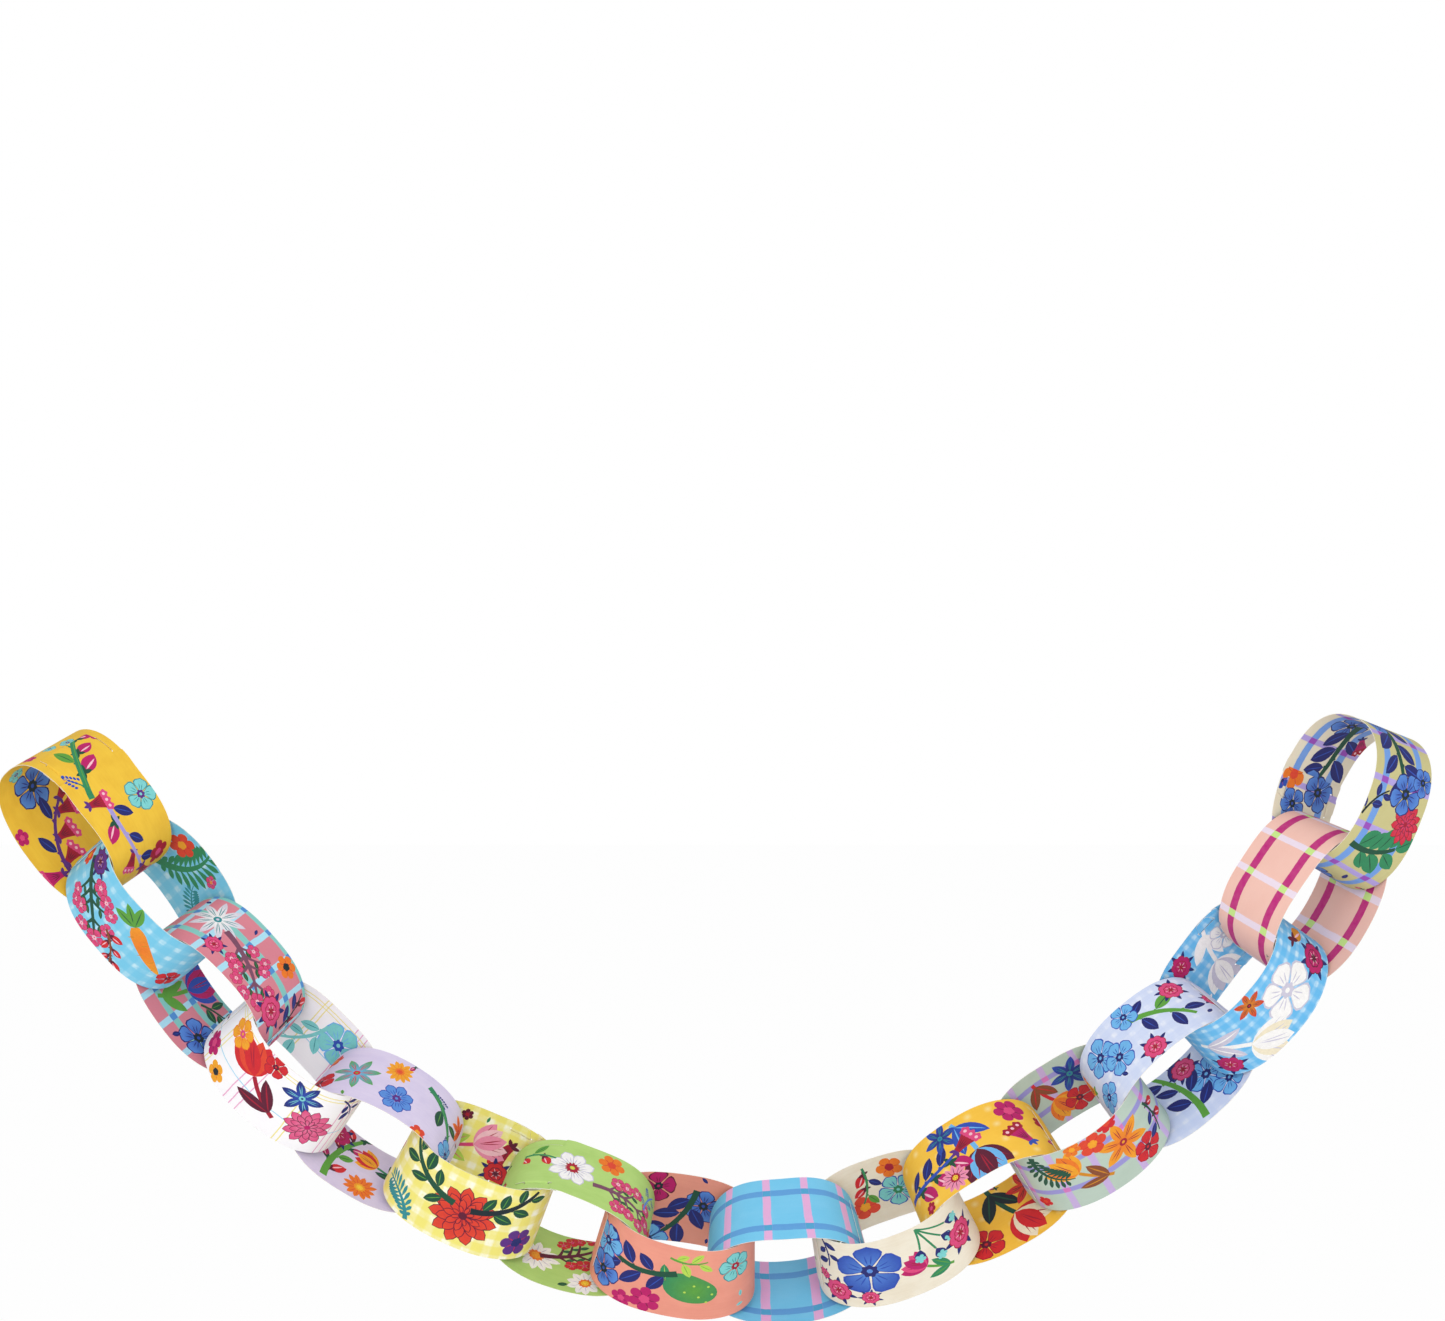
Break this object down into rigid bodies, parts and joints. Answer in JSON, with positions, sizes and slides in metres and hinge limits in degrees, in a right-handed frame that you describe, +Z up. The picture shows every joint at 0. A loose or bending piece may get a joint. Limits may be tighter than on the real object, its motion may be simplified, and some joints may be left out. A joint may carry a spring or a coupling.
{
  "type": "paper chain garland",
  "caption": "Garland of interlocked printed card loops, each a flat strip closed without glue by two ears in two slits, hanging in a shallow curve from its end loops.",
  "frame": {"origin": "middle of the flat inside the left end loop's far end, where a hook or a pin bears", "axes": "+X from the left end of the garland to the right end, +Y away from the viewer, +Z up"},
  "size_m": [0.8213, 0.083, 0.3499],
  "materials": {
    "link_01_gold": "matte",
    "link_02_pale_blue": "matte",
    "link_03_dusty_pink": "matte",
    "link_04_white": "matte",
    "link_05_lavender": "matte",
    "link_06_pale_yellow": "matte",
    "link_07_apple_green": "matte",
    "link_08_salmon": "matte",
    "link_09_sky_blue": "matte",
    "link_10_cream": "matte",
    "link_11_golden_yellow": "matte",
    "link_12_sage": "matte",
    "link_13_ice_blue": "matte",
    "link_14_cornflower": "matte",
    "link_15_peach": "matte",
    "link_16_khaki_cream": "matte"
  },
  "bodies": {
    "root": {"link_01_gold": "link_01_gold", "link_02_pale_blue": "link_02_pale_blue", "link_03_dusty_pink": "link_03_dusty_pink", "link_04_white": "link_04_white", "link_05_lavender": "link_05_lavender", "link_06_pale_yellow": "link_06_pale_yellow", "link_07_apple_green": "link_07_apple_green", "link_08_salmon": "link_08_salmon", "link_09_sky_blue": "link_09_sky_blue", "link_10_cream": "link_10_cream", "link_11_golden_yellow": "link_11_golden_yellow", "link_12_sage": "link_12_sage", "link_13_ice_blue": "link_13_ice_blue", "link_14_cornflower": "link_14_cornflower", "link_15_peach": "link_15_peach", "link_16_khaki_cream": "link_16_khaki_cream"}
  },
  "joints": []
}
